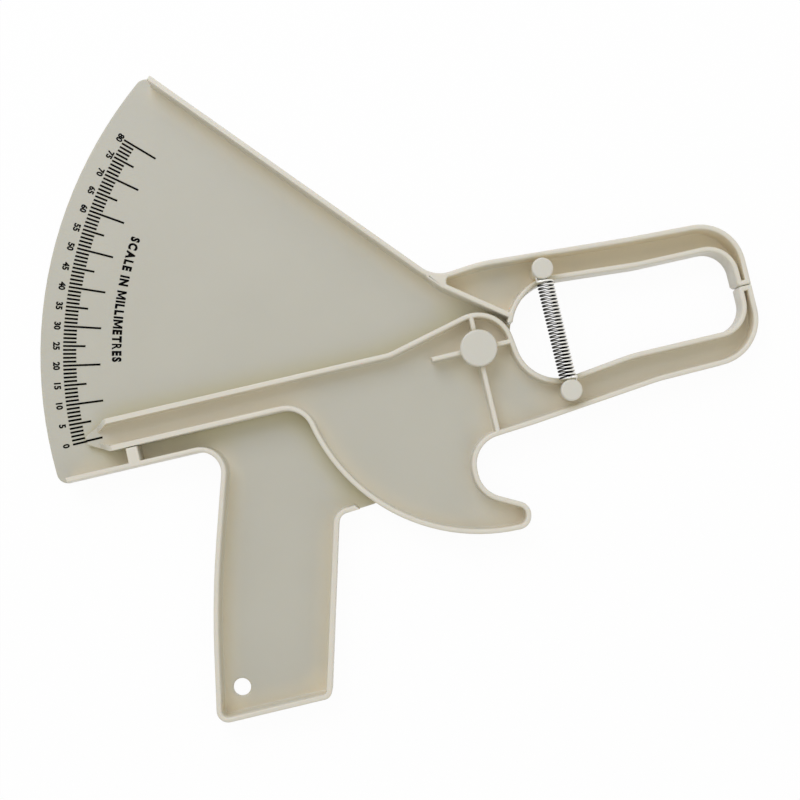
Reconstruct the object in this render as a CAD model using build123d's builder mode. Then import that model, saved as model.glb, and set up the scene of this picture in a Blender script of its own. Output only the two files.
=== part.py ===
"""One-hand skinfold caliper: a moulded frame, a moulded arm and the spring that closes them.

The origin is on the pivot axis, at the flat back of the frame. +X runs from the pivot
to the closed jaws, +Y towards the top of the scale sector and +Z out of the open side
of the mouldings. The caliper is shown closed, with the pointer at zero. Sizes are in mm.
"""

import os
from math import asin, atan2, cos, degrees, dist, hypot, pi, radians, sin, sqrt

from build123d import *

# Whole tool
jaw_reach = 105.6            # pivot to the middle of the contact faces
step_angle = 0.551           # turn of the arm from one graduation to the next, in degrees
scale_steps = 80             # graduations after zero, one for each millimetre
frame_depth = 12.0           # back of the frame to the top of the rims
plate_thickness = 2.2        # floor of both mouldings
rim_width = 2.0              # raised walls of both mouldings
plate_gap = 0.4              # running gap between the frame's floor and the arm's floor
contact_gap = 0.2            # light gap left between the closed contact faces
contact_rise = 0.5           # contact faces, above the line from zero through the pivot
contact_width = 5.4          # contact face, from the opening to the outside
contact_inner_share = 0.325  # of the contact face, on the pivot's side of the jaw reach
contact_notch = 1.5          # chamfer at the opening's edge of each contact face
cut_overrun = 5.0            # how far a cut runs past what it cuts
arm_floor = plate_thickness + plate_gap
arm_floor_top = arm_floor + plate_thickness
opening_angle = scale_steps * step_angle
jaw_inside = jaw_reach - contact_inner_share * contact_width
jaw_outside = jaw_inside + contact_width

# Pivot
pivot_post_radius = 4.0
pivot_running_clearance = 0.06
pivot_boss_wall = 2.3
frame_disc_radius = 13.0     # the frame's floor behind the hub
hub_radius = 14.1            # outside of the arm's hub rim
hub_clearance = 1.2          # between the hub rim and the frame's rims
pivot_cap_radius = 7.2
cap_thickness = 2.4
cap_edge_radius = 0.8
cap_lift = 0.3               # between the arm's rims and the pivot cap
stem_radius_share = 0.5      # a cap's stem against the post that it is pressed in
stem_length = 6.0
press_clearance = 0.02

# Scale sector of the frame
sector_radius = 171.5
sector_span = 48.5           # angle between the two straight edges
top_margin = 13.05           # top edge, outside the radial line through the pivot
bottom_margin = 14.4         # bottom edge, below the radial line through the pivot
sector_corner_radius = 4.5
rim_end_gap = 5.0            # the rims stop this far short of the curved edge
stop_distance = 139.0        # pivot to the middle of the zero stop
stop_width = 4.5
stop_gap = 0.3               # light gap left between the stop and the pointer

# Grip of the frame, measured from the pivot
grip_root = 104.5
grip_root_radius = 8.0
grip_belly = 121.5
grip_belly_drop = 69.8
grip_bow_share = 0.45        # of the shorter run beside the belly, taken by its arc
grip_heel = 130.4
grip_toe = 85.5
grip_drop = 117.6
grip_heel_radius = 4.5
grip_toe_radius = 3.5
grip_shoulder = 67.1
grip_shoulder_drop = 50.4
grip_shoulder_radius = 4.5
web_corner = 52.6
web_corner_drop = 49.4
web_corner_radius = 2.0
grip_rim_clearance = 5.5     # between the trigger's arc and the end of the grip's rim
hang_hole_radius = 3.4
hang_hole_inset = 11.3       # hole's middle, in from the heel
hang_hole_rise = 10.8        # hole's middle, up from the bottom edge

# Fixed jaw of the frame, measured from the pivot
throat = 14.0
throat_height = 21.0
throat_radius = 19.4
throat_foot = 1.0
upper_waist = 67.8
upper_waist_height = 16.9
upper_waist_radius = 80.0
upper_jaw_inner_height = 16.6
inner_corner_radius = 10.0
upper_jaw_outer_height = 27.3
upper_outer_corner_radius = 17.6
upper_knee = 65.9
upper_knee_height = 29.1
upper_knee_radius = 80.0
crest = 8.5
crest_height = 32.9
crest_radius = 60.0
junction_height = 31.2
junction_radius = 12.0
rib_lean = 37.0              # slope of the rib between the sector and the jaw
rib_clearance = 1.8          # between the hub rim and that rib
rib_length = 60.0
recess_end_width = 2.5       # blunt end of the jaw's recess, between that rib and the rim
recess_end_radius = 1.0
recess_gusset = 6.5          # solid part between that end and the sector

# Arm: pointer
pointer_half_width = 6.3
pointer_tip_half_width = 1.7
pointer_reach = 156.6
pointer_taper = 9.3
pointer_corner_radius = 4.0
pointer_tip_radius = 0.8
pointer_nose_slope = 5.2     # run of the slope that ends the rims
pointer_shoulder = 34.2
pointer_shoulder_radius = 15.0

# Arm: trigger
trigger_radius = 71.6        # outer arc of the trigger, about the pivot
trigger_root_radius = 10.0
hook_ceiling = 35.4          # top of the finger space, below the pivot
hook_back = 11.2             # back of the finger space, left of the pivot
hook_floor = 54.1            # bottom of the finger space at its back, below the pivot
hook_radius = 11.3
hook_slope = 28.0            # slope of the hook's upper side
hook_tip = 6.1
trigger_end = 3.9
hook_tip_radius = 5.2

# Arm: moving jaw, measured from the pivot
lower_throat_top = 2.0
lower_throat = 16.9
lower_throat_depth = 20.5
lower_throat_radius = 16.5
lower_waist = 57.0
lower_waist_depth = 15.4
lower_waist_radius = 60.0
lower_jaw_inner_depth = 15.3
lower_jaw_outer_depth = 27.35
lower_outer_corner_radius = 18.3
lower_knee = 66.4
lower_knee_depth = 28.15
lower_knee_radius = 80.0
lower_heel = 14.8
lower_heel_depth = 33.4
lower_heel_radius = 40.0
hub_rib_width = 1.8
hub_rib_stub = 18.5          # end of the short rib under the pointer

# Spring and its posts
post_reach = 38.8            # pivot to either spring post
post_angle = 38.2            # either spring post, above and below the X axis
post_base_radius = 3.0
post_neck_radius = 2.0
spring_cap_radius = 4.15
wire_diameter = 0.93
coil_diameter = 6.7
coil_turns = 28
hook_play = 0.3              # between the wire and what it lies beside
rim_play = 0.4               # between the coil and the tops of the rims

# Printed scale
print_thickness = 0.08
tick_width = 0.62
tick_margin = 9.05           # from the outer ends of the graduations to the curved edge
minor_tick = 5.15
middle_tick = 8.75
major_tick = 14.55
middle_step = 5
major_step = 10
index_length = 6.5

# Places that follow from the sizes above
post_x = post_reach * cos(radians(post_angle))
post_y = post_reach * sin(radians(post_angle))
coil_radius = (coil_diameter - wire_diameter) / 2
spring_level = frame_depth + rim_play + coil_diameter / 2
post_step = spring_level - wire_diameter / 2 - hook_play
cap_level = spring_level + wire_diameter / 2 + hook_play
pivot_cap_level = frame_depth + cap_lift
loop_radius = post_neck_radius + hook_play + wire_diameter / 2
coil_end = post_y - spring_cap_radius - hook_play - wire_diameter / 2
coil_pitch = 2 * coil_end / coil_turns
tick_outer = sector_radius - tick_margin
boss_radius = pivot_post_radius + pivot_running_clearance + pivot_boss_wall


def mark_angle(mark):
    """Angle about the pivot, from +X, of a graduation counted from zero."""
    return 180 - mark * step_angle


def at(radius, angle):
    """Point at a radius and an angle about the pivot."""
    return (radius * cos(radians(angle)), radius * sin(radians(angle)))


def on_circle(radius, drop):
    """Point left of the pivot on a circle about it, this far below it."""
    return (-sqrt(radius**2 - drop**2), -drop)


def bow_radius(before, corner, after, share):
    """Radius of the arc that takes this share of the shorter run beside a corner."""
    turn = atan2(after[1] - corner[1], after[0] - corner[0]) - atan2(
        corner[1] - before[1], corner[0] - before[0]
    )
    half_turn = abs(turn) / 2
    run = min(dist(before, corner), dist(corner, after))
    return share * run * cos(half_turn) / sin(half_turn)


def tangent_point(corner, radius):
    """Where a line from a corner touches the underside of a circle about the pivot."""
    reach = hypot(*corner)
    heading = degrees(atan2(-corner[1], -corner[0]))
    lean = heading - degrees(asin(radius / reach))
    return (radius * sin(radians(lean)), -radius * cos(radians(lean)))


def top_edge(height):
    """Point of the sector's top edge at a height above the pivot."""
    lean = radians(sector_span)
    return ((top_margin - height * cos(lean)) / sin(lean), height)


def meet(first_angle, first_reach, second_angle, second_reach):
    """Where two lines meet, each given by the angle and the length of its normal."""
    first, second = radians(first_angle), radians(second_angle)
    turn = sin(second - first)
    return (
        (first_reach * sin(second) - second_reach * sin(first)) / turn,
        (second_reach * cos(first) - first_reach * cos(second)) / turn,
    )


def recess_end():
    """Blunt end of the jaw's recess: its middle, its slant and its two corners."""
    rise = (crest - top_edge(junction_height)[0], crest_height - junction_height)
    slope = degrees(atan2(rise[1], rise[0]))
    rib_top = (90 - rib_lean, hub_radius + rib_clearance + rim_width)
    rim_angle = radians(90 + slope)
    rim_reach = crest * cos(rim_angle) + crest_height * sin(rim_angle) - rim_width
    rim_bottom = (90 + slope, rim_reach)
    tip = meet(*rib_top, *rim_bottom)
    slant = (slope - rib_lean) / 2
    half_angle = radians(slope + rib_lean) / 2
    run = recess_end_width / 2 * cos(half_angle) / sin(half_angle)
    middle = (tip[0] + run * cos(radians(slant)), tip[1] + run * sin(radians(slant)))
    face = (slant, middle[0] * cos(radians(slant)) + middle[1] * sin(radians(slant)))
    return middle, slant, (meet(*rib_top, *face), meet(*rim_bottom, *face))


def frame_outline():
    """Face of the whole frame, seen from the open side."""
    lean = radians(sector_span)
    run = sqrt(sector_radius**2 - top_margin**2)
    low_corner = on_circle(sector_radius, bottom_margin)
    high_corner = (
        top_margin * sin(lean) - run * cos(lean),
        top_margin * cos(lean) + run * sin(lean),
    )
    web = (-web_corner, -web_corner_drop)
    root = (-grip_root, -bottom_margin)
    belly = (-grip_belly, -grip_belly_drop)
    heel = (-grip_heel, -grip_drop)
    corners = [
        root,
        belly,
        heel,
        (-grip_toe, -grip_drop),
        (-grip_shoulder, -grip_shoulder_drop),
        web,
        tangent_point(web, frame_disc_radius),
        (throat, -throat_foot),
        (throat, throat_height),
        (upper_waist, upper_waist_height),
        (jaw_inside, upper_jaw_inner_height),
        (jaw_inside, contact_rise + contact_gap / 2),
        (jaw_outside, contact_rise + contact_gap / 2),
        (jaw_outside, upper_jaw_outer_height),
        (upper_knee, upper_knee_height),
        (crest, crest_height),
        top_edge(junction_height),
    ]
    radii = [
        grip_root_radius,
        bow_radius(root, belly, heel, grip_bow_share),
        grip_heel_radius,
        grip_toe_radius,
        grip_shoulder_radius,
        web_corner_radius,
        0,
        0,
        throat_radius,
        upper_waist_radius,
        inner_corner_radius,
        0,
        0,
        upper_outer_corner_radius,
        upper_knee_radius,
        crest_radius,
        junction_radius,
    ]
    with BuildSketch(mode=Mode.PRIVATE) as outline:
        with BuildLine():
            FilletPolyline([low_corner, *corners, high_corner], radius=radii)
            ThreePointArc(high_corner, at(sector_radius, 180 - sector_span / 2), low_corner)
        make_face()
        ends = [
            min(outline.vertices(), key=lambda v: dist((v.X, v.Y), corner))
            for corner in (low_corner, high_corner)
        ]
        fillet(ends, sector_corner_radius)
        Circle(frame_disc_radius)
        with Locations((jaw_inside, contact_rise)):
            Rectangle(contact_notch, contact_notch, rotation=45, mode=Mode.SUBTRACT)
    return outline.sketch


def arm_outline():
    """Face of the whole arm, seen from the open side."""
    shoulder = (-pointer_shoulder, pointer_half_width)
    reach = hypot(*shoulder)
    lean = degrees(atan2(-shoulder[1], -shoulder[0])) + degrees(asin(hub_radius / reach))
    hub_touch = at(hub_radius, 90 + lean)
    slope = radians(hook_slope)
    tip_drop = hook_floor + (hook_back + hook_tip) * sin(slope) / cos(slope)
    root = on_circle(trigger_radius, pointer_half_width)
    tip = (trigger_end, -sqrt(trigger_radius**2 - trigger_end**2))
    corners = [
        (-pointer_reach + pointer_taper, -pointer_half_width),
        (-pointer_reach, -pointer_tip_half_width),
        (-pointer_reach, pointer_tip_half_width),
        (-pointer_reach + pointer_taper, pointer_half_width),
        shoulder,
        hub_touch,
        (sqrt(hub_radius**2 - lower_throat_top**2), lower_throat_top),
        (lower_throat, -lower_throat_depth),
        (lower_waist, -lower_waist_depth),
        (jaw_inside, -lower_jaw_inner_depth),
        (jaw_inside, contact_rise - contact_gap / 2),
        (jaw_outside, contact_rise - contact_gap / 2),
        (jaw_outside, -lower_jaw_outer_depth),
        (lower_knee, -lower_knee_depth),
        (lower_heel, -lower_heel_depth),
        (-hook_back, -hook_ceiling),
        (-hook_back, -hook_floor),
        (hook_tip, -tip_drop),
    ]
    radii = [
        pointer_corner_radius,
        pointer_tip_radius,
        pointer_tip_radius,
        pointer_corner_radius,
        pointer_shoulder_radius,
        0,
        0,
        lower_throat_radius,
        lower_waist_radius,
        inner_corner_radius,
        0,
        0,
        lower_outer_corner_radius,
        lower_knee_radius,
        lower_heel_radius,
        hook_radius,
        hook_radius,
        hook_tip_radius,
    ]
    with BuildSketch(mode=Mode.PRIVATE) as outline:
        with BuildLine():
            FilletPolyline([root, *corners, tip], radius=radii)
            ThreePointArc(tip, at(trigger_radius, 180 + 45), root)
        make_face()
        for corner, radius in ((root, trigger_root_radius), (tip, hook_tip_radius)):
            fillet(min(outline.vertices(), key=lambda v: dist((v.X, v.Y), corner)), radius)
        Circle(hub_radius)
        with Locations((jaw_inside, contact_rise)):
            Rectangle(contact_notch, contact_notch, rotation=45, mode=Mode.SUBTRACT)
    return outline.sketch


def stepped_post(place, floor):
    """Post for a spring hook: a wide base, a neck for the wire and a bore for the cap."""
    with Locations((*place, floor)):
        Cylinder(post_base_radius, post_step - floor, align=standing)
        Cylinder(post_neck_radius, cap_level - floor, align=standing)
    bore = stem_radius_share * post_neck_radius + press_clearance
    with Locations((*place, cap_level - stem_length)):
        Cylinder(bore, stem_length + cut_overrun, align=standing, mode=Mode.SUBTRACT)


def round_cap(place, level, radius, post_radius):
    """Round-edged button on a stem, which is pressed in a post's bore."""
    with Locations((*place, level)):
        button = Cylinder(radius, cap_thickness, align=standing)
    rims = button.edges().filter_by(GeomType.CIRCLE)
    fillet(rims.sort_by(Axis.Z)[-1], cap_edge_radius)
    with Locations((*place, level + press_clearance - stem_length)):
        Cylinder(stem_radius_share * post_radius, stem_length, align=standing)


standing = (Align.CENTER, Align.CENTER, Align.MIN)
frame_face = frame_outline()
arm_face = arm_outline()
upper_post = (post_x, post_y)
lower_post = (post_x, -post_y)
grip_rim_reach = trigger_radius + grip_rim_clearance
recess_middle, recess_slant, recess_ends = recess_end()
nose = -pointer_reach + pointer_taper + rim_width / 2

# Frame: floor, rims, rib, zero stop, pivot post and the fixed end of the spring
with BuildPart() as frame:
    with BuildSketch():
        add(frame_face)
        with Locations((-grip_heel + hang_hole_inset, -grip_drop + hang_hole_rise)):
            Circle(hang_hole_radius, mode=Mode.SUBTRACT)
    extrude(amount=plate_thickness)
    with BuildSketch(Plane.XY.offset(plate_thickness)) as frame_rims:
        add(frame_face)
        offset(frame_face, amount=-rim_width, mode=Mode.SUBTRACT)
        # no rim along the curved edge
        with BuildSketch(Plane.XY.offset(plate_thickness), mode=Mode.SUBTRACT):
            Circle(sector_radius + cut_overrun)
            Circle(sector_radius - rim_end_gap, mode=Mode.SUBTRACT)
            with Locations((-sector_radius, -bottom_margin - cut_overrun)):
                Rectangle(
                    2 * sector_radius,
                    2 * sector_radius,
                    align=(Align.CENTER, Align.MIN),
                    mode=Mode.INTERSECT,
                )
        # no rim where the arm sweeps, below the jaw
        with BuildSketch(Plane.XY.offset(plate_thickness), mode=Mode.SUBTRACT):
            Circle(grip_rim_reach)
            with Locations((0, hub_radius / 2)):
                Rectangle(
                    2 * grip_rim_reach,
                    2 * grip_rim_reach,
                    align=(Align.CENTER, Align.MAX),
                    mode=Mode.INTERSECT,
                )
        # the rib from the sector's top edge to the throat
        with BuildSketch(Plane.XY.offset(plate_thickness), mode=Mode.ADD):
            with Locations(at(hub_radius + rib_clearance + rim_width / 2, 90 - rib_lean)):
                Rectangle(rib_length, rim_width, rotation=-rib_lean)
            with Locations(recess_middle):
                Rectangle(
                    recess_gusset,
                    recess_end_width + rim_width / 2,
                    rotation=recess_slant,
                    align=(Align.MAX, Align.CENTER),
                )
            # it ends at the inner side of the sector's top rim
            with Locations(at(top_margin - rim_width, 90 - sector_span)):
                Rectangle(
                    2 * sector_radius,
                    sector_radius,
                    rotation=-sector_span,
                    align=(Align.CENTER, Align.MIN),
                    mode=Mode.INTERSECT,
                )
            add(frame_face, mode=Mode.INTERSECT)
        Circle(hub_radius + hub_clearance, mode=Mode.SUBTRACT)
        recess_corners = [
            min(frame_rims.vertices(), key=lambda v: dist((v.X, v.Y), corner))
            for corner in recess_ends
        ]
        fillet(recess_corners, recess_end_radius)
        # the zero stop stands on the bottom rim
        with Locations((-stop_distance, -bottom_margin)):
            Rectangle(
                stop_width,
                bottom_margin - pointer_half_width - stop_gap,
                align=(Align.CENTER, Align.MIN),
            )
    extrude(amount=frame_depth - plate_thickness)
    with Locations((0, 0, plate_thickness)):
        Cylinder(pivot_post_radius, pivot_cap_level - plate_thickness, align=standing)
    with Locations((0, 0, pivot_cap_level - stem_length)):
        Cylinder(
            stem_radius_share * pivot_post_radius + press_clearance,
            stem_length + cut_overrun,
            align=standing,
            mode=Mode.SUBTRACT,
        )
    stepped_post(upper_post, plate_thickness)

# Arm: floor, rims, hub with its ribs, and the moving end of the spring
with BuildPart() as arm:
    with BuildSketch(Plane.XY.offset(arm_floor)):
        add(arm_face)
    extrude(amount=plate_thickness)
    with BuildSketch(Plane.XY.offset(arm_floor_top)):
        add(arm_face)
        offset(arm_face, amount=-rim_width, mode=Mode.SUBTRACT)
        # four ribs stiffen the hub
        with BuildSketch(Plane.XY.offset(arm_floor_top), mode=Mode.ADD):
            Circle(boss_radius)
            Rectangle(hub_rib_width, hub_radius, align=(Align.CENTER, Align.MIN))
            Rectangle(lower_throat, hub_rib_width, align=(Align.MIN, Align.CENTER))
            Rectangle(hub_rib_stub, hub_rib_width, align=(Align.MAX, Align.CENTER))
            Rectangle(hub_rib_width, hook_ceiling, align=(Align.CENTER, Align.MAX))
            add(arm_face, mode=Mode.INTERSECT)
    extrude(amount=frame_depth - arm_floor_top)
    # the rims slope down at the pointer's nose, which is a flat tongue
    with BuildSketch(Plane.XZ):
        with BuildLine():
            Polyline(
                (nose, frame_depth),
                (nose - pointer_nose_slope, arm_floor_top),
                (-pointer_reach - cut_overrun, arm_floor_top),
                (-pointer_reach - cut_overrun, frame_depth + cut_overrun),
                (nose, frame_depth + cut_overrun),
                close=True,
            )
        make_face()
    extrude(amount=pointer_half_width + cut_overrun, both=True, mode=Mode.SUBTRACT)
    with Locations((0, 0, arm_floor - cut_overrun)):
        Cylinder(
            pivot_post_radius + pivot_running_clearance,
            frame_depth + 2 * cut_overrun,
            align=standing,
            mode=Mode.SUBTRACT,
        )
    stepped_post(lower_post, arm_floor)

# Caps: one button on the pivot post and one on each spring post
with BuildPart() as pivot_cap:
    round_cap((0, 0), pivot_cap_level, pivot_cap_radius, pivot_post_radius)

with BuildPart() as upper_spring_cap:
    round_cap(upper_post, cap_level, spring_cap_radius, post_neck_radius)

with BuildPart() as lower_spring_cap:
    round_cap(lower_post, cap_level, spring_cap_radius, post_neck_radius)


def helix_place(turn):
    """Middle of the wire after a number of turns, counted from the upper end."""
    angle = 2 * pi * turn
    return Vector(
        post_x + coil_radius * sin(angle),
        coil_end - coil_pitch * turn,
        spring_level + coil_radius * cos(angle),
    )


def helix_heading(turn):
    """Direction of the wire after a number of turns."""
    angle = 2 * pi * turn
    around = 2 * pi * coil_radius
    return Vector(around * cos(angle), -coil_pitch, -around * sin(angle)).normalized()


def biarc(start, heading, end, end_heading):
    """Two tangent arcs from one place and heading to another."""
    chord = end - start
    square = 2 * (heading.dot(end_heading) - 1)
    linear = 2 * chord.dot(heading + end_heading)
    reach = (linear - sqrt(linear**2 - 4 * square * chord.dot(chord))) / (2 * square)
    first_knee = start + heading * reach
    second_knee = end - end_heading * reach
    middle = (first_knee + second_knee) / 2
    TangentArc(start, middle, tangent=heading)
    TangentArc(middle, end, tangent=(second_knee - first_knee).normalized())


def hook(side):
    """Wire from the coil's end to and round a post: side is 1 at the top, -1 below."""
    sideways = Vector(-side, 0, 0)
    away = Vector(0, side, 0)
    post = Vector(post_x, side * post_y, spring_level)
    turn = 0 if side > 0 else coil_turns
    leaving = helix_heading(turn) * -side
    start = helix_place(turn) + leaving * wire_diameter
    bend = start + leaving * wire_diameter
    rise = post + sideways * loop_radius - away * loop_radius
    near = post - away * loop_radius
    Line(start, bend)
    biarc(bend, leaving, rise, away)
    Line(rise, post + sideways * loop_radius)
    ThreePointArc(
        post + sideways * loop_radius, post + away * loop_radius, post - sideways * loop_radius
    )
    TangentArc(post - sideways * loop_radius, near, tangent=away * -1)
    Line(near, near + sideways * wire_diameter)


def wire_gap(path, length):
    """Least gap between the wire and itself, measured on points along the path."""
    step = wire_diameter / 2
    count = int(length / step)
    places = [tuple(path.position_at(n / count)) for n in range(count + 1)]
    apart = int(2 * wire_diameter / step) + 1
    least = min(
        dist(places[m], places[n])
        for m in range(len(places))
        for n in range(m + apart, len(places))
    )
    return least - wire_diameter


def wind_coil():
    """Wire of the coil, in half turns, with a straight end at both ends."""
    Line(helix_place(0) + helix_heading(0) * -wire_diameter, helix_place(0))
    for half in range(2 * coil_turns):
        turn, after = half / 2, (half + 1) / 2
        biarc(helix_place(turn), helix_heading(turn), helix_place(after), helix_heading(after))
    end = helix_place(coil_turns)
    Line(end, end + helix_heading(coil_turns) * wire_diameter)


# Spring: the coil and its upper hook are one wire, and the lower hook goes on from it
with BuildPart() as spring_coil:
    with BuildLine() as coil_path:
        wind_coil()
        hook(1)
    coil_wire = coil_path.wire()
    with BuildSketch(Plane(coil_wire @ 0, z_dir=coil_wire % 0)):
        Circle(wire_diameter / 2)
    sweep(path=coil_wire)

with BuildPart() as spring_lower_hook:
    with BuildLine() as hook_path:
        hook(-1)
    hook_wire = hook_path.wire()
    with BuildSketch(Plane(hook_wire @ 0, z_dir=hook_wire % 0)):
        Circle(wire_diameter / 2)
    sweep(path=hook_wire)

# Printed scale: graduations, and the pointer's index line
with BuildPart() as scale_graduations:
    with BuildSketch(Plane.XY.offset(plate_thickness)):
        for mark in range(scale_steps + 1):
            length = minor_tick
            if mark % middle_step == 0:
                length = middle_tick
            if mark % major_step == 0:
                length = major_tick
            if mark == 0:
                length = tick_outer - pointer_reach
            angle = mark_angle(mark)
            with Locations(at(tick_outer - length / 2, angle)):
                Rectangle(length, tick_width, rotation=angle)
    extrude(amount=print_thickness)

with BuildPart() as pointer_index:
    with BuildSketch(Plane.XY.offset(arm_floor_top)):
        with Locations((-pointer_reach, 0)):
            Rectangle(index_length, tick_width, align=(Align.MIN, Align.CENTER))
    extrude(amount=print_thickness)

pieces = {
    "frame": frame,
    "arm": arm,
    "pivot_cap": pivot_cap,
    "upper_spring_cap": upper_spring_cap,
    "lower_spring_cap": lower_spring_cap,
    "spring_coil": spring_coil,
    "spring_lower_hook": spring_lower_hook,
    "scale_graduations": scale_graduations,
    "pointer_index": pointer_index,
}

os.makedirs("parts", exist_ok=True)
for name, piece in pieces.items():
    piece.part.label = name
    export_step(piece.part, f"parts/{name}.step")

for name, path in (("coil", coil_wire), ("lower hook", hook_wire)):
    print(f"least gap of the {name} to itself: {wire_gap(path, path.length):.2f} mm")
print(f"full opening turns the arm by {opening_angle:.2f} degrees")
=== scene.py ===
# %% [markdown]
# # A moulded skinfold caliper
#
# The real tool is two plastic mouldings and a steel spring. One moulding carries the
# scale, the grip and the fixed jaw. The other turns on it, and is pointer, trigger and
# moving jaw in one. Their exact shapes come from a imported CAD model, so this lesson is
# about what CAD leaves out: softened edges, plastic that looks like plastic, wire that
# shines, print and light.

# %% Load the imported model
import math

import bmesh
import bpy
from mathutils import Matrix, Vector


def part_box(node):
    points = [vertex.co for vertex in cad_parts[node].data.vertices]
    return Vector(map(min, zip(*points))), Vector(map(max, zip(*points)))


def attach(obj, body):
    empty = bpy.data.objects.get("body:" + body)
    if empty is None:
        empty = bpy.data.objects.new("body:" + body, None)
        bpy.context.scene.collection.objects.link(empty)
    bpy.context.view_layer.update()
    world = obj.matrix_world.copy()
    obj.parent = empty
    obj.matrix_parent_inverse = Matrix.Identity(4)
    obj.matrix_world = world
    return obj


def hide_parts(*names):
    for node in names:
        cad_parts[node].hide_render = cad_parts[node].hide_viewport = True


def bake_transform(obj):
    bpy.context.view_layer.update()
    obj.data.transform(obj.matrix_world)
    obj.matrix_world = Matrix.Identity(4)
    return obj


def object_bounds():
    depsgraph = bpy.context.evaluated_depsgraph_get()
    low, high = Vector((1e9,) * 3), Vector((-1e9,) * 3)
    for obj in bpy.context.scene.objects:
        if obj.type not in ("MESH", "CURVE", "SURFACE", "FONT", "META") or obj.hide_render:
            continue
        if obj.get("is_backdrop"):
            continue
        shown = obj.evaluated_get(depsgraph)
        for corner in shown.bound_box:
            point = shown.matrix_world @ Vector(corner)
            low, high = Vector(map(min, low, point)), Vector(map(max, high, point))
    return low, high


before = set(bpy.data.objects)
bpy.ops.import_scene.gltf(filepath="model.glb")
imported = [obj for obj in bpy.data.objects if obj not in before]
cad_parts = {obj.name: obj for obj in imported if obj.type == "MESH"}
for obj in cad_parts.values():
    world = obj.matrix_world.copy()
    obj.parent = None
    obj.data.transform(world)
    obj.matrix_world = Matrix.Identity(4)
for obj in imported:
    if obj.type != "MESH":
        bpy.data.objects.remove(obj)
cad_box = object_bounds()
MM = 0.001

# %% [markdown]
# ## The camera
#
# The photograph looks almost straight down on the tool from about half a metre. The
# camera leans by less than 3 degrees, which draws the far end of the scale a little
# larger, and it is rolled by 13 degrees, so that the tool lies slanted in the picture
# and square to its own axes.

# %% Camera
camera_data = bpy.data.cameras.new("camera")
camera_data.angle = math.radians(32.66)
camera = bpy.data.objects.new("camera", camera_data)
camera.location = (-0.0466, -0.0358, 0.538)
camera.rotation_euler = [math.radians(angle) for angle in (2.776, -0.742, -13.198)]
bpy.context.scene.collection.objects.link(camera)
bpy.context.scene.camera = camera
print("camera height:", round(camera.location.z, 3))

# %% [markdown]
# ## Plastic with painted shade in its corners
#
# Ivory plastic is one colour right through, but it never looks like one. Its floors are
# given a greyer tone than its rims. In the narrow channels, where light reaches it only
# after touching other ivory walls, a warm tan is painted in as shade. Height picks out the
# rims, and ambient occlusion nodes pick out the channels, because they measure how closed
# in a point is. A floor closed in by the other moulding gets a painted shadow too, and a
# side that stands free is painted as pale as a rim, as painted light for what it catches
# from the table. Grain and a slow drift of the colour are a node group of their own,
# because the wire and the print use them too.


# %% Helpers for colours and materials
def screen(red, green, blue):
    """A colour as the screen shows it, 0 to 255, made linear by the sRGB curve."""
    linear = []
    for value in (red, green, blue):
        share = value / 255
        dark = share < 0.04045
        linear.append(share / 12.92 if dark else ((share + 0.055) / 1.055) ** 2.4)
    return (*linear, 1)


def new_material(name):
    """A new material with its node tree and its main shader."""
    material = bpy.data.materials.new(name)
    material.use_nodes = True
    return material, material.node_tree, material.node_tree.nodes["Principled BSDF"]


def node_group(name, inputs, outputs):
    """A node group with number sockets, and its nodes for input and output."""
    group = bpy.data.node_groups.new(name, "ShaderNodeTree")
    kind = "NodeSocketFloat"
    for title, value in inputs.items():
        socket = group.interface.new_socket(title, in_out="INPUT", socket_type=kind)
        socket.default_value = value
    for title in outputs:
        group.interface.new_socket(title, in_out="OUTPUT", socket_type=kind)
    return group, group.nodes.new("NodeGroupInput"), group.nodes.new("NodeGroupOutput")


# %% Helpers for nodes
def wire_up(tree, *links):
    """Join node sockets, given as (node, output name, node, input name)."""
    for source, output, target, socket in links:
        tree.links.new(source.outputs[output], target.inputs[socket])


def mapped(tree, start=0, stop=1, low=0, high=1, smooth=False):
    """A node that turns the range from start to stop into that from low to high."""
    node = tree.nodes.new("ShaderNodeMapRange")
    if smooth:
        node.interpolation_type = "SMOOTHSTEP"
    node.inputs["From Min"].default_value = start
    node.inputs["From Max"].default_value = stop
    node.inputs["To Min"].default_value = low
    node.inputs["To Max"].default_value = high
    return node


def joined(tree, operation, first=None):
    """A math node, perhaps with its first value set."""
    node = tree.nodes.new("ShaderNodeMath")
    node.operation = operation
    if first is not None:
        node.inputs[0].default_value = first
    return node


def mixed(tree, **colours):
    """A node that mixes two colours, A and B, with those set that are given."""
    node = tree.nodes.new("ShaderNodeMix")
    node.data_type = "RGBA"
    for socket, colour in colours.items():
        node.inputs[socket].default_value = colour
    return node


def placed(tree, group):
    """A node that puts a node group into a tree."""
    node = tree.nodes.new("ShaderNodeGroup")
    node.node_tree = group
    return node


# %% Node group: mould grain
grain, grain_in, grain_out = node_group(
    "mould grain", {"Grain Size": 1600.0, "Drift Size": 30.0}, ("Grain", "Drift")
)
where = grain.nodes.new("ShaderNodeTexCoord")
fine = grain.nodes.new("ShaderNodeTexNoise")
fine.inputs["Detail"].default_value = 3
slow = grain.nodes.new("ShaderNodeTexNoise")
slow.inputs["Detail"].default_value = 4
wire_up(
    grain,
    (where, "Object", fine, "Vector"),
    (where, "Object", slow, "Vector"),
    (grain_in, "Grain Size", fine, "Scale"),
    (grain_in, "Drift Size", slow, "Scale"),
    (fine, "Fac", grain_out, "Grain"),
    (slow, "Fac", grain_out, "Drift"),
)
print("mould grain:", len(grain.nodes), "nodes")
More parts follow.
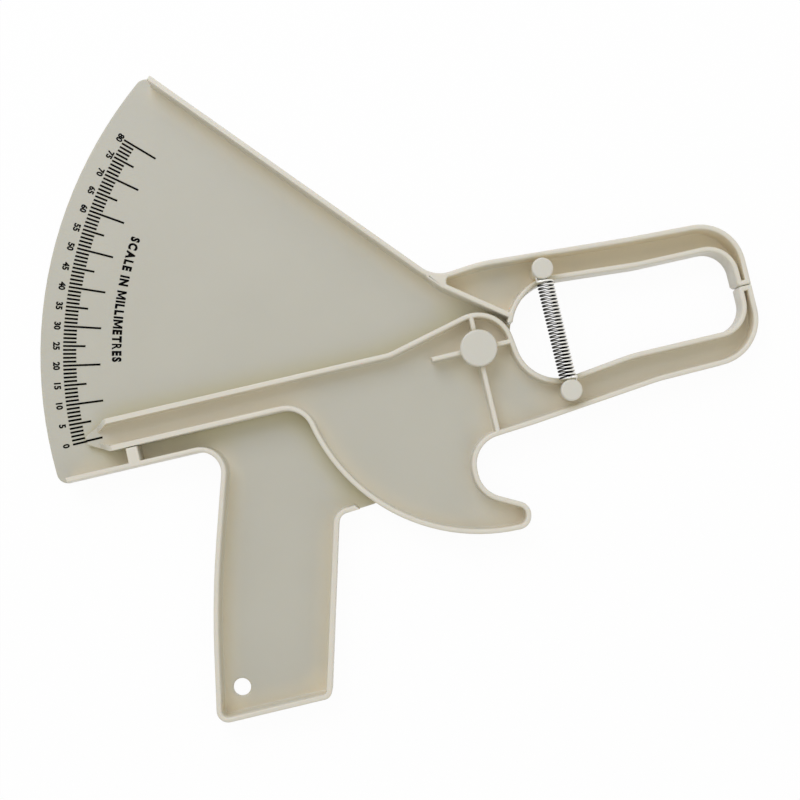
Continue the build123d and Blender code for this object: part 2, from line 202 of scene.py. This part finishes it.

# %% Node group: masks for painted shade and light
# Masks for painted light and shade: warm shade in closed-in channels, shadow on floors
# that the other moulding closes in, and light on sides that stand free.
shade_and_light, shade_and_light_in, shade_and_light_out = node_group(
    "shade_and_light", {"Reach": 12 * MM}, ("Recess Shade", "Overshadowed", "Painted Side Light")
)
own_walls = shade_and_light.nodes.new("ShaderNodeAmbientOcclusion")
own_walls.samples = 8
own_walls.only_local = True
all_walls = shade_and_light.nodes.new("ShaderNodeAmbientOcclusion")
all_walls.samples = 8
facing = shade_and_light.nodes.new("ShaderNodeNewGeometry")
facing_split = shade_and_light.nodes.new("ShaderNodeSeparateXYZ")

# Occlusion runs from 1, in the open, down to 0, closed in on all sides.
closed_own = mapped(shade_and_light, start=0.9, stop=0.35)
closed_all = mapped(shade_and_light, start=0.9, stop=0.4)
free = mapped(shade_and_light, start=0.75, stop=0.95)
upward = mapped(shade_and_light, start=0.3, stop=0.8)
sideward = joined(shade_and_light, "SUBTRACT", first=1)
other_only = joined(shade_and_light, "SUBTRACT")
other_only.use_clamp = True
floor_only = joined(shade_and_light, "MULTIPLY")
painted_side_light = joined(shade_and_light, "MULTIPLY")

# %% Wiring of the painted shade and light group
wire_up(
    shade_and_light,
    (shade_and_light_in, "Reach", own_walls, "Distance"),
    (shade_and_light_in, "Reach", all_walls, "Distance"),
    (own_walls, "AO", closed_own, "Value"),
    (all_walls, "AO", closed_all, "Value"),
    (facing, "Normal", facing_split, "Vector"),
    (facing_split, "Z", upward, "Value"),
    (upward, "Result", sideward, 1),
    (closed_own, "Result", shade_and_light_out, "Recess Shade"),
    (closed_all, "Result", other_only, 0),
    (closed_own, "Result", other_only, 1),
    (other_only, "Value", floor_only, 0),
    (upward, "Result", floor_only, 1),
    (floor_only, "Value", shade_and_light_out, "Overshadowed"),
    (own_walls, "AO", free, "Value"),
    (free, "Result", painted_side_light, 0),
    (sideward, "Value", painted_side_light, 1),
    (painted_side_light, "Value", shade_and_light_out, "Painted Side Light"),
)
print("shelter:", len(shade_and_light.nodes), "nodes")

# %% Plastic
FLOOR_TONE = screen(186, 184, 172)
RIM_TONE = screen(212, 208, 196)
# Painted shade: a warm tan for closed-in channels, and a painted shadow for floors that
# the other moulding closes in.
RECESS_SHADE_TONE = screen(224, 214, 190)
SHADOW_TONE = screen(193, 186, 152)
SMOOTHER, ROUGHER = 0.06, 0.08  # how far the roughness drifts down and up
GRAIN_DEPTH = 0.05


def plastic(name, tones, floor_top, rim_bottom, roughness=0.42):
    """Moulded plastic with a floor and a rim tone, and a tone of painted shade in its
    channels.

    The floor tone ends at floor_top and the rim tone begins at rim_bottom, both in mm.
    """
    floor_tone, rim_tone, recess_shade_tone = tones
    material, tree, shader = new_material(name)
    shader.inputs["Specular IOR Level"].default_value = 0.4
    shader.inputs["Subsurface Weight"].default_value = 0.25
    shader.inputs["Subsurface Radius"].default_value = (1.0, 0.7, 0.4)
    shader.inputs["Subsurface Scale"].default_value = 1.2 * MM
    marks = placed(tree, grain)
    shade_and_light_masks = placed(tree, shade_and_light)
    where = tree.nodes.new("ShaderNodeTexCoord")
    split = tree.nodes.new("ShaderNodeSeparateXYZ")
    height = mapped(tree, start=floor_top * MM, stop=rim_bottom * MM, smooth=True)
    # Painted light: a side that stands free takes the rim tone, for the light it catches
    # from the table.
    light = joined(tree, "MAXIMUM")
    tone = mixed(tree, A=floor_tone, B=rim_tone)
    # Painted shade: closed-in channels turn warm tan.
    corner = mixed(tree, B=recess_shade_tone)
    # Painted shadow: floors that the other moulding closes in turn a darker tan.
    shadow = mixed(tree, B=SHADOW_TONE)
    drift = mapped(tree, low=0.965, high=1.035)
    shade = tree.nodes.new("ShaderNodeVectorMath")
    shade.operation = "SCALE"
    gloss = mapped(tree, low=roughness - SMOOTHER, high=roughness + ROUGHER)
    bump = tree.nodes.new("ShaderNodeBump")
    bump.inputs["Strength"].default_value = 0.12
    bump.inputs["Distance"].default_value = GRAIN_DEPTH * MM
    wire_up(
        tree,
        (where, "Object", split, "Vector"),
        (split, "Z", height, "Value"),
        (height, "Result", light, 0),
        (shade_and_light_masks, "Painted Side Light", light, 1),
        (light, "Value", tone, "Factor"),
        (shade_and_light_masks, "Recess Shade", corner, "Factor"),
        (tone, "Result", corner, "A"),
        (marks, "Drift", drift, "Value"),
        (corner, "Result", shadow, "A"),
        (shade_and_light_masks, "Overshadowed", shadow, "Factor"),
        (shadow, "Result", shade, "Vector"),
        (drift, "Result", shade, "Scale"),
        (shade, "Vector", shader, "Base Color"),
        (marks, "Drift", gloss, "Value"),
        (gloss, "Result", shader, "Roughness"),
        (marks, "Grain", bump, "Height"),
        (bump, "Normal", shader, "Normal"),
    )
    return material


# %% Plastic of the frame, the arm and the buttons
frame_plastic = plastic(
    "frame plastic", (FLOOR_TONE, RIM_TONE, RECESS_SHADE_TONE), floor_top=6.0, rim_bottom=11.7
)
# The arm's painted shade in its channels is a little less tan.
arm_plastic = plastic(
    "arm plastic",
    (FLOOR_TONE, RIM_TONE, screen(216, 207, 186)),
    floor_top=6.0,
    rim_bottom=11.7,
)
cap_plastic = plastic(
    "cap plastic",
    (screen(200, 198, 188), screen(205, 203, 193), RECESS_SHADE_TONE),
    floor_top=12.0,
    rim_bottom=19.0,
    roughness=0.36,
)
print("plastics:", [item.name for item in (frame_plastic, arm_plastic, cap_plastic)])


# %% [markdown]
# ## Wire and print
#
# A tightly wound spring shows only the crests of its turns. Between them hardly any
# light gets in, so they are painted nearly black as shade. The wire's mesh carries a
# number for that, from 0 inside the coil to 1 on its crests, and the material reads it.
# In the gaps the painted shade is black metal, which has no gloss of its own. The
# print is a matt ink with a slight unevenness.


# %% Finish of wire and print
ROUGHNESS_DRIFT = 0.1


def uneven(name, roughness):
    """A finish whose roughness drifts a little, with its tree and its shader."""
    material, tree, shader = new_material(name)
    marks = placed(tree, grain)
    marks.inputs["Drift Size"].default_value = 400
    least, most = roughness - ROUGHNESS_DRIFT / 2, roughness + ROUGHNESS_DRIFT / 2
    gloss = mapped(tree, low=least, high=most)
    wire_up(
        tree, (marks, "Drift", gloss, "Value"), (gloss, "Result", shader, "Roughness")
    )
    return material, tree, shader


# %% Spring wire and print materials
spring_wire, tree, shader = uneven("spring wire", roughness=0.3)
shader.inputs["Specular IOR Level"].default_value = 1
crest = tree.nodes.new("ShaderNodeAttribute")
crest.attribute_name = "crest"
outer = mapped(tree, start=0.89, stop=0.985, smooth=True)
# Painted shade: the wire is nearly black metal between its turns, where little light gets
# in.
gap_shade = mixed(tree, A=screen(5, 4, 4), B=screen(252, 251, 247))
metal = mapped(tree, low=1, high=0.5)
wire_up(
    tree,
    (crest, "Fac", outer, "Value"),
    (outer, "Result", gap_shade, "Factor"),
    (outer, "Result", metal, "Value"),
    (gap_shade, "Result", shader, "Base Color"),
    (metal, "Result", shader, "Metallic"),
)

black_print, tree, shader = uneven("black print", roughness=0.8)
shader.inputs["Base Color"].default_value = screen(3, 3, 3)
shader.inputs["Specular IOR Level"].default_value = 0.05
print("wire and print:", spring_wire.name, "and", black_print.name)

# %% [markdown]
# ## The two mouldings
#
# The CAD edges are razor sharp, and a moulding's never are: the tops of the rims are
# nearly round, and the walls meet the floor in a small hollow, as the mould's own
# corners do. All those corners lie round level faces, so one helper eases them. It
# opens a level face, moves its outline up or down the wall, and leads quarter-round
# strips from there back to a smaller level face. The strips become narrower where a
# wall is thin or sloped, and they nearly vanish where a wall that rises meets one that
# falls.


# %% Copies of CAD nodes
def merged_copy(*nodes, distance=0.002):
    """One bmesh of some CAD nodes, with points within a distance in mm merged."""
    mesh = bmesh.new()
    for node in nodes:
        mesh.from_mesh(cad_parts[node].data)
    bmesh.ops.remove_doubles(mesh, verts=mesh.verts, dist=distance * MM)
    return mesh


# %% Outlines of level faces
LEVEL_SLACK = 0.005  # mm
SLOPED = 0.2  # the upright part of a leaning wall's normal


def outline_of(mesh, level):
    """The level faces at a height in mm, and the edges round them.

    An edge is (start, end, inward, side, slope). Inward points from it into the face,
    side is 1 where its wall rises and -1 where it falls, and slope says if it leans.
    """
    faces = [
        face
        for face in mesh.faces
        if all(abs(vert.co.z - level * MM) < LEVEL_SLACK * MM for vert in face.verts)
    ]
    # The set answers quickly, but only the list keeps its order from run to run.
    known = set(faces)
    edges = []
    for face in faces:
        for loop in face.loops:
            walls = [other for other in loop.edge.link_faces if other not in known]
            if walls:
                start, end = loop.vert, loop.link_loop_next.vert
                inward = face.normal.cross(end.co - start.co).normalized()
                side = 1 if walls[0].calc_center_median().z > level * MM else -1
                slope = abs(walls[0].normal.z) > SLOPED
                edges.append((start, end, inward, side, slope))
    return faces, edges


# %% Room for a strip
TINY = 0.01  # mm
PARALLEL = 1e-12
OVERHANG = 0.01  # of a wall's length, so that no ray slips between two walls


def room(start, heading, walls):
    """How far a ray in a level plane runs before it meets a wall."""
    nearest = math.inf
    for low, high in walls:
        along = high - low
        cross = heading.x * along.y - heading.y * along.x
        if abs(cross) < PARALLEL:
            continue
        gap = low - start
        run = (gap.x * along.y - gap.y * along.x) / cross
        share = (gap.x * heading.y - gap.y * heading.x) / cross
        if run > TINY * MM and -OVERHANG <= share <= 1 + OVERHANG:
            nearest = min(nearest, run)
    return nearest


# %% Sizes of the strips
LEAST_TURN = 0.4  # keeps a heading short at a sharp corner
ROOM_SHARE = 0.43  # of the way to the next wall
SLOPE_SIZE = 0.12  # mm, the most at a wall that leans
GROWTH = 0.35  # of an edge's length, the most that a size grows along it
STRIP_END = 1.1  # sizes from the wall to a strip's last row
MOST_LOST = 0.9  # of an edge's length, the most that its strips use up
PASSES = 4


def limit_sizes(start, end, headings, sizes):
    """Keep two sizes near each other, and keep their strips from using up the edge."""
    along = end.co - start.co
    step = GROWTH * along.length
    sizes[start] = min(sizes[start], sizes[end] + step)
    sizes[end] = min(sizes[end], sizes[start] + step)
    loss = sizes[start] * headings[start] - sizes[end] * headings[end]
    lost = STRIP_END * loss.dot(along) / along.length_squared
    if lost > MOST_LOST:
        sizes[start] *= MOST_LOST / lost
        sizes[end] *= MOST_LOST / lost


def strips_of(edges, radius):
    """The heading, size and side of the strip at each point of an outline.

    A strip is tiny where the side changes or more than two edges meet.
    """
    meeting = {}
    for start, end, *facts in edges:
        meeting.setdefault(start, []).append(facts)
        meeting.setdefault(end, []).append(facts)
    walls = [(start.co.copy(), end.co.copy(), {start, end}) for start, end, *_ in edges]
    headings, sizes, sides = {}, {}, {}
    for vert, ends in meeting.items():
        (inward, side, slope), (next_inward, next_side, next_slope) = ends[:2]
        turn = 1 + inward.dot(next_inward)
        headings[vert] = (inward + next_inward) / max(turn, LEAST_TURN)
        others = [(low, high) for low, high, both in walls if vert not in both]
        free = ROOM_SHARE * room(vert.co, headings[vert], others)
        sizes[vert] = min(radius * MM, free)
        sides[vert] = side
        if len(ends) != 2 or side != next_side:
            sizes[vert] = TINY * MM
        elif slope or next_slope:
            sizes[vert] = min(sizes[vert], SLOPE_SIZE * MM)
    for _ in range(PASSES):
        for start, end, *_ in edges:
            limit_sizes(start, end, headings, sizes)
    return headings, sizes, sides


# %% Easing the edges of level faces
def ease(mesh, level, radius, steps=4):
    """Lead quarter-round strips from the walls to each level face at a height in mm."""
    faces, edges = outline_of(mesh, level)
    up = sum(face.normal.z for face in faces) > 0
    headings, sizes, sides = strips_of(edges, radius)
    chains = {}
    for vert, heading in headings.items():
        foot, size, side = vert.co.copy(), sizes[vert], sides[vert]
        vert.co.z += side * size
        chains[vert] = [vert]
        for step in range(1, steps + 1):
            angle = math.pi / 2 * step / steps
            place = foot + heading * size * (1 - math.cos(angle))
            place.z += side * size * (1 - math.sin(angle))
            chains[vert].append(mesh.verts.new(place))
        chains[vert].append(mesh.verts.new(foot + heading * size * STRIP_END))
    bmesh.ops.delete(mesh, geom=faces, context="FACES_ONLY")
    rim = []
    for start, end, *_ in edges:
        here, there = chains[start], chains[end]
        for step in range(steps + 1):
            mesh.faces.new((here[step], there[step], there[step + 1], here[step + 1]))
        rim.append(mesh.edges.get((here[-1], there[-1])))
    filled = bmesh.ops.triangle_fill(mesh, edges=rim, normal=(0, 0, 1 if up else -1))
    for face in filled["geom"]:
        if isinstance(face, bmesh.types.BMFace):
            face.tag = True
            if (face.normal.z > 0) != up:
                face.normal_flip()


# %% Finishing a piece
SHARP_ANGLE = 32  # degrees


def finished(mesh, name, material, slot, body, *nodes):
    """Turn a bmesh into a piece that rides on a body and stands for CAD nodes."""
    data = bpy.data.meshes.new(name)
    bmesh.ops.recalc_face_normals(mesh, faces=mesh.faces)
    for face in mesh.faces:
        face.smooth = not face.tag
    mesh.to_mesh(data)
    mesh.free()
    data.materials.append(material)
    data.set_sharp_from_angle(angle=math.radians(SHARP_ANGLE))
    piece = bpy.data.objects.new(name, data)
    bpy.context.scene.collection.objects.link(piece)
    if body:
        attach(piece, body)
    if nodes:
        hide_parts(*nodes)
    print(name, len(data.polygons), "faces")
    return piece


# %% Frame and arm
RIM_TOP = 12.0
FRAME_FLOOR = 2.2
RIM_RADIUS = 0.8
HOLLOW_RADIUS = 0.7
BASE_RADIUS = 0.3
for node, material, bottom, floor_top in (
    ("frame", frame_plastic, 0.0, FRAME_FLOOR),
    ("arm", arm_plastic, 2.6, 4.8),
):
    shell = merged_copy(node, distance=0.03)
    ease(shell, RIM_TOP, RIM_RADIUS)
    ease(shell, floor_top, HOLLOW_RADIUS)
    ease(shell, bottom, BASE_RADIUS, steps=2)
    finished(shell, node + "_moulding", material, "shell_plastic", node, node)

# %% [markdown]
# ## Buttons
#
# Three round buttons hold the pivot and the two spring ends. Their CAD shapes are
# right, so they only take a better plastic.

# %% Buttons
for node in ("pivot_cap", "upper_spring_cap", "lower_spring_cap"):
    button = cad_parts[node]
    button.data.materials.clear()
    button.data.materials.append(cap_plastic)
    print(node, "in", cap_plastic.name)

# %% [markdown]
# ## The spring
#
# The spring is one wire, but the CAD model has its lower hook apart, because that end
# moves away as the jaws open. Here both are merged into one wire again.

# %% Spring
SPRING_LEVEL = 15.75
COIL_RADIUS = 2.885
WIRE_RADIUS = 0.465
COIL_END = 19.08
wire = merged_copy("spring_coil", "spring_lower_hook")
top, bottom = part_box("spring_coil")[1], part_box("spring_coil")[0]
middle = (top.x + bottom.x) / 2
# The crest number tells the wire's painted shade where the crests of its turns lie.
crests = wire.verts.layers.float.new("crest")
for vert in wire.verts:
    out = math.hypot(vert.co.x - middle, vert.co.z - SPRING_LEVEL * MM) / MM
    share = (out - COIL_RADIUS + WIRE_RADIUS) / (2 * WIRE_RADIUS)
    vert[crests] = min(max(share, 0), 1) if abs(vert.co.y) < COIL_END * MM else 1
spring = finished(
    wire,
    "spring_wire",
    spring_wire,
    "spring_steel",
    None,
    "spring_coil",
    "spring_lower_hook",
)
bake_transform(spring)

# %% [markdown]
# ## Print
#
# The graduations are CAD bars already. The figures and the line of words are real text,
# with their feet away from the pivot, as on the tool. Text is made a mesh first, and
# then its points are bent round the pivot. The words are stamped letter by letter, so
# that each keeps its own width and the gaps between them can be set. Made bold, the
# font's M closes up, so the M is raised from an outline instead.

# %% Scale geometry
SCALE_TOP = 80
STEP_ANGLE = 0.551  # degrees a mark
INK = 0.06  # mm, the thickness of the figures and words


def mark_angle(mark):
    """Angle about the pivot of a graduation."""
    return math.pi - math.radians(mark * STEP_ANGLE)


# %% A bold M
M_HEIGHT = 4.2
M_OUTLINE = (
    (0, 0), (0.24, 0), (0.24, 0.6), (0.44, 0.12), (0.66, 0.12), (0.86, 0.6),
    (0.86, 0), (1.1, 0), (1.1, 1), (0.82, 1), (0.55, 0.38), (0.28, 1), (0, 1),
)


def heavy_m():
    """A bmesh of a bold M, about as high as the caption's other letters at first."""
    mesh = bmesh.new()
    height, bottom = M_HEIGHT * MM, -INK / 2 * MM
    corners = [mesh.verts.new((x * height, y * height, bottom)) for x, y in M_OUTLINE]
    grown = bmesh.ops.extrude_face_region(mesh, geom=[mesh.faces.new(corners)])
    raised = [item for item in grown["geom"] if isinstance(item, bmesh.types.BMVert)]
    bmesh.ops.translate(mesh, vec=(0, 0, INK * MM), verts=raised)
    return mesh


# %% Letters and stamps
SLIMNESS = 0.92  # width against height, where no width is given
DOUBLE = 0.001


def letters(text, size, weight):
    """A bmesh of some text, made bold by a weight in mm. An M is bold already."""
    if text == "M":
        return heavy_m()
    curve = bpy.data.curves.new("letters", "FONT")
    curve.body = text
    curve.size = size * MM
    curve.align_x = "CENTER"
    curve.align_y = "CENTER"
    curve.extrude = INK / 2 * MM
    curve.offset = weight * MM
    curve.resolution_u = 3
    writer = bpy.data.objects.new("letters", curve)
    bpy.context.scene.collection.objects.link(writer)
    bpy.context.view_layer.update()
    written = writer.evaluated_get(bpy.context.evaluated_depsgraph_get())
    data = bpy.data.meshes.new_from_object(written)
    bpy.data.objects.remove(writer)
    mesh = bmesh.new()
    mesh.from_mesh(data)
    bmesh.ops.remove_doubles(mesh, verts=mesh.verts, dist=DOUBLE * MM)
    return mesh


def span(mesh, axis):
    """The lowest and highest place of a mesh's points along an axis."""
    places = [vert.co[axis] for vert in mesh.verts]
    return min(places), max(places)


def stamp(target, text, size, weight, height, radius, angle, width=None):
    """Add text bent round the pivot, of a height and perhaps a width in mm."""
    mesh = letters(text, size, weight)
    left, right = span(mesh, 0)
    foot, head = span(mesh, 1)
    tall = height * MM / (head - foot)
    wide = width * MM / (right - left) if width else tall * SLIMNESS
    for vert in mesh.verts:
        along = (vert.co.x - (left + right) / 2) * wide
        up = (vert.co.y - (foot + head) / 2) * tall
        turn = angle + along / (radius * MM)
        reach = radius * MM - up
        level = FRAME_FLOOR * MM + vert.co.z
        vert.co = (reach * math.cos(turn), reach * math.sin(turn), level)
    data = bpy.data.meshes.new("stamp")
    mesh.to_mesh(data)
    mesh.free()
    target.from_mesh(data)


# %% Figures
FIGURE_STEP = 5
FIGURE_RADIUS = 165.1
CREEP = 0.03  # mm a mark that the printed figures come nearer to the pivot
CREEP_START = 50
FIGURE_STYLE = {"size": 3.4, "weight": 0.16, "height": 2.75}
figures = bmesh.new()
for mark in range(0, SCALE_TOP + 1, FIGURE_STEP):
    radius = FIGURE_RADIUS - CREEP * max(mark - CREEP_START, 0)
    stamp(figures, str(mark), radius=radius, angle=mark_angle(mark), **FIGURE_STYLE)
finished(figures, "scale_figures", black_print, "black_print", "frame")

# %% Widths of the caption's letters
CAPTION = "SCALE IN MILLIMETRES"
CAPTION_LENGTH = 50.0
CAPTION_HEIGHT = 3.8
CAPTION_RADIUS = 141.5
CAPTION_MIDDLE = mark_angle(38.9)
LETTER_SIZE = 5.0
LETTER_GAP = 0.5
WORD_GAP = 1.5
WEIGHT = 0.3
R_WEIGHT = 0.16


def weight_of(letter):
    """How far a letter is thickened, in mm: less for the R, whose bowl would fill."""
    return R_WEIGHT if letter == "R" else WEIGHT


def breadth(letter):
    """Natural width of a letter of the caption, in mm."""
    mesh = letters(letter, LETTER_SIZE, weight_of(letter))
    left, right = span(mesh, 0)
    mesh.free()
    return (right - left) / MM


widths = {letter: breadth(letter) for letter in sorted(set(CAPTION) - {" "})}
solid = sum(widths.get(letter, 0) for letter in CAPTION)
gaps = sum(WORD_GAP if letter == " " else LETTER_GAP for letter in CAPTION) - LETTER_GAP
stretch = (CAPTION_LENGTH - gaps) / solid
print("letters stretched by", round(stretch, 3))

# %% The caption
words = bmesh.new()
along = -CAPTION_LENGTH / 2
for letter in CAPTION:
    if letter == " ":
        along += WORD_GAP
        continue
    width = widths[letter] * stretch
    stamp(
        words,
        letter,
        size=LETTER_SIZE,
        weight=weight_of(letter),
        height=CAPTION_HEIGHT,
        radius=CAPTION_RADIUS,
        angle=CAPTION_MIDDLE + (along + width / 2) / CAPTION_RADIUS,
        width=width,
    )
    along += width + LETTER_GAP
finished(words, "scale_words", black_print, "black_print", "frame")

# %% [markdown]
# ## Bolder marks
#
# Fresh ink spreads a little, so the marks are drawn somewhat wider than their CAD bars.

# %% Marks
INK_SPREAD = 0.07
for node, body, name in (
    ("scale_graduations", "frame", "scale_marks"),
    ("pointer_index", "arm", "pointer_mark"),
):
    ink = merged_copy(node)
    for vert in ink.verts:
        angle = math.atan2(vert.co.y, vert.co.x) % (2 * math.pi)
        line = mark_angle(round(math.degrees(math.pi - angle) / STEP_ANGLE))
        across = Vector((-math.sin(line), math.cos(line), 0))
        vert.co += across * math.copysign(INK_SPREAD * MM, across.dot(vert.co))
    finished(ink, name, black_print, "black_print", body, node)

# %% [markdown]
# ## Floor and light
#
# A pale floor and broad soft lamps, as in a light tent. The main lamp stands beyond the
# top of the scale, so the pointer and the jaws throw their shadows towards the grip. It
# is a little cool and the tent's own light a little warm, as those shadows are. For the
# camera and for reflections the floor is nearly white by itself, and it still keeps a
# faint shadow.

# %% Floor
FLOOR_DROP = 0.1
floor_mesh = bmesh.new()
bmesh.ops.create_grid(floor_mesh, x_segments=1, y_segments=1, size=3)
bmesh.ops.translate(floor_mesh, vec=(0, 0, -FLOOR_DROP * MM), verts=floor_mesh.verts)
floor_data = bpy.data.meshes.new("floor")
floor_mesh.to_mesh(floor_data)
floor_mesh.free()
floor = bpy.data.objects.new("floor", floor_data)
bpy.context.scene.collection.objects.link(floor)
floor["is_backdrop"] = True

# %% White paper
paper, tree, shader = new_material("white paper")
shader.inputs["Base Color"].default_value = (0.86, 0.86, 0.86, 1)
shader.inputs["Roughness"].default_value = 0.9
path = tree.nodes.new("ShaderNodeLightPath")
mirrored = joined(tree, "MAXIMUM")
seen = joined(tree, "MAXIMUM")
often = joined(tree, "MULTIPLY", first=0.95)
glow = tree.nodes.new("ShaderNodeEmission")
blend = tree.nodes.new("ShaderNodeMixShader")
wire_up(
    tree,
    (path, "Is Glossy Ray", mirrored, 0),
    (path, "Is Transmission Ray", mirrored, 1),
    (path, "Is Camera Ray", seen, 0),
    (mirrored, "Value", seen, 1),
    (seen, "Value", often, 1),
    (often, "Value", blend, "Fac"),
    (shader, "BSDF", blend, 1),
    (glow, "Emission", blend, 2),
    (blend, "Shader", tree.nodes["Material Output"], "Surface"),
)
floor_data.materials.append(paper)
print("floor in", paper.name)


# %% Lamps and world
AIM = Vector((-0.03, 0, 0))


def lamp(name, place, size, power, colour=(1, 1, 1)):
    """A square area lamp that faces the middle of the tool."""
    data = bpy.data.lights.new(name, "AREA")
    data.size = size
    data.energy = power
    data.color = colour
    light = bpy.data.objects.new(name, data)
    light.location = place
    light.rotation_euler = (AIM - Vector(place)).to_track_quat("-Z", "Y").to_euler()
    bpy.context.scene.collection.objects.link(light)
    print(name, "of", power, "W")


lamp("key lamp", (-0.24, 0.78, 0.85), size=0.8, power=5.5, colour=(0.97, 1.0, 1.14))
lamp("fill lamp", (0.4, -0.6, 1.0), size=0.9, power=2.0)

world = bpy.data.worlds.new("light tent")
bpy.context.scene.world = world
world.use_nodes = True
background = world.node_tree.nodes["Background"]
background.inputs["Color"].default_value = (1, 0.98, 0.92, 1)
background.inputs["Strength"].default_value = 0.68
bpy.context.scene.view_settings.view_transform = "Standard"

# %% [markdown]
# ## Check the size and finish
#
# The dressed model has to fill the same box as the CAD model, so both boxes are written
# down and can be compared after each render.

# %% Sizes
looks_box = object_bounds()
for low, high in (cad_box, looks_box):
    print([list(low), list(high)])
